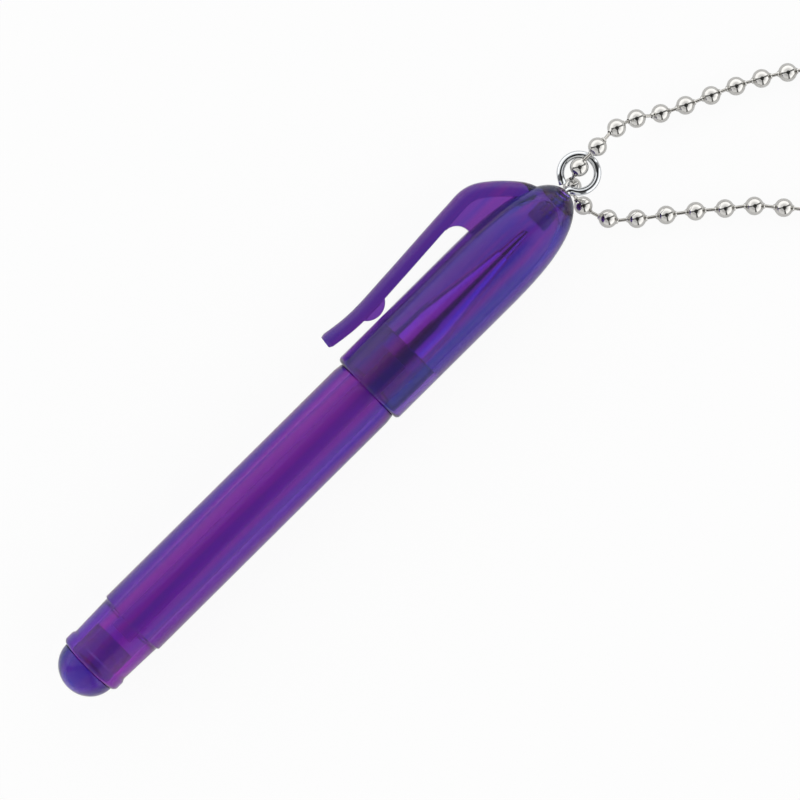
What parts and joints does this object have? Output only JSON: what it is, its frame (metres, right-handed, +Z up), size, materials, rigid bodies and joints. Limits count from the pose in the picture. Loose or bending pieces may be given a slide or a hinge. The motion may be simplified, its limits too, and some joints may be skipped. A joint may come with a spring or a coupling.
{
  "type": "keyring pen",
  "caption": "Capped mini ballpoint pen in translucent plastic with a pocket clip on the cap, a metal nose cone and a wire eye that carries a loop of ball chain.",
  "frame": {"origin": "on the pen's axis, in the middle of the barrel's straight grip", "axes": "+X along the pen towards the wire eye, +Y towards the pocket clip, +Z up from the table the pen lies on"},
  "size_m": [0.1265, 0.0372, 0.0106],
  "materials": {
    "barrel_plastic": "moulded translucent polystyrene, gloss",
    "cap_plastic": "moulded translucent polystyrene, gloss",
    "plug_plastic": "moulded translucent polystyrene, gloss",
    "plated_brass": "turned brass, nickel plated, bright",
    "refill_plastic": "extruded polypropylene, natural",
    "ink": "paste ink",
    "point_metal": "turned nickel silver",
    "ball_metal": "ground carbide",
    "plated_wire": "drawn steel wire, nickel plated",
    "chain_steel": "rolled steel sheet, nickel plated",
    "link_steel": "steel wire, nickel plated"
  },
  "bodies": {
    "barrel": {"barrel": "barrel_plastic", "nose_cone": "plated_brass", "refill_tube": "refill_plastic", "ink_column": "ink", "point_socket": "point_metal", "end_plug": "plug_plastic"},
    "writing_ball": {"writing_ball": "ball_metal"},
    "cap": {"cap": "cap_plastic", "eye_screw": "plated_wire"},
    "chain": {"chain_beads": "chain_steel", "chain_links": "link_steel"},
    "connector": {"chain_connector": "chain_steel"}
  },
  "joints": [
    {"name": "cap_pull", "type": "slide", "parent": "barrel", "child": "cap", "axis": [1, 0, 0], "range_m": [0, 0.036]},
    {"name": "chain_swing", "type": "hinge", "parent": "cap", "child": "chain", "pos_m": [0.0599, 0.0006, 0], "axis": [0, 0, 1], "range_deg": [-25, 90]},
    {"name": "connector_turn", "type": "hinge", "parent": "chain", "child": "connector", "pos_m": [0.08995, -0.02295, -0.00371], "axis": [0.7071, 0.7071, 0], "continuous": true},
    {"name": "ball_roll", "type": "hinge", "parent": "barrel", "child": "writing_ball", "pos_m": [0.04965, 0, 0], "axis": [0, 1, 0], "continuous": true}
  ]
}
